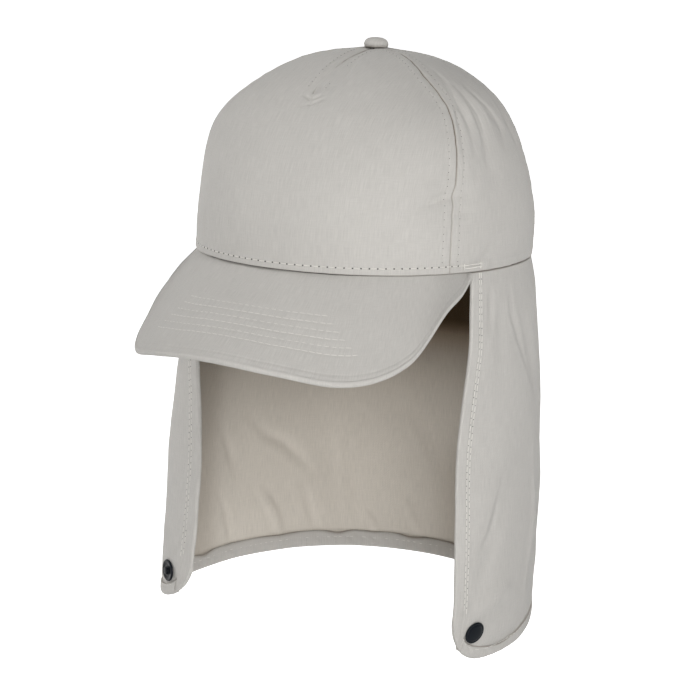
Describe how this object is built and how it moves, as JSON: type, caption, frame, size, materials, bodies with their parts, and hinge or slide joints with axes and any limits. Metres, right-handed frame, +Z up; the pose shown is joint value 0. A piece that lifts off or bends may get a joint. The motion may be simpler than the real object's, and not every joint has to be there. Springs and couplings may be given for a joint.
{
  "type": "five-panel cap with neck flap",
  "caption": "Soft sun cap with a stitched curved peak, covered top button, dark sweatband and a long neck flap with press studs at its front corners, in its worn form.",
  "frame": {"origin": "centre of the head opening, level with the crown's bottom edge, where the cap sits on a head", "axes": "+Z up through the button, -Y towards the front of the peak, +X towards the wearer's left"},
  "size_m": [0.2077, 0.2669, 0.3283],
  "materials": {
    "crown_cloth": "matt stone twill",
    "peak_cloth": "matt stone twill over a stiff board, with rows of stitching",
    "flap_cloth": "matt stone twill, one layer",
    "binding_cloth": "matt stone tape",
    "dark_cloth": "matt black band",
    "stud_plastic": "satin navy-black"
  },
  "bodies": {
    "root": {"front_panel": "crown_cloth", "side_panel_left": "crown_cloth", "rear_panel_left": "crown_cloth", "rear_panel_right": "crown_cloth", "side_panel_right": "crown_cloth", "top_button": "crown_cloth", "sweatband": "dark_cloth", "peak": "peak_cloth", "neck_flap": "flap_cloth", "flap_binding": "binding_cloth", "stud_cap_left": "stud_plastic", "stud_socket_left": "stud_plastic", "ball_stud_right": "stud_plastic", "stud_back_right": "stud_plastic"}
  },
  "joints": []
}
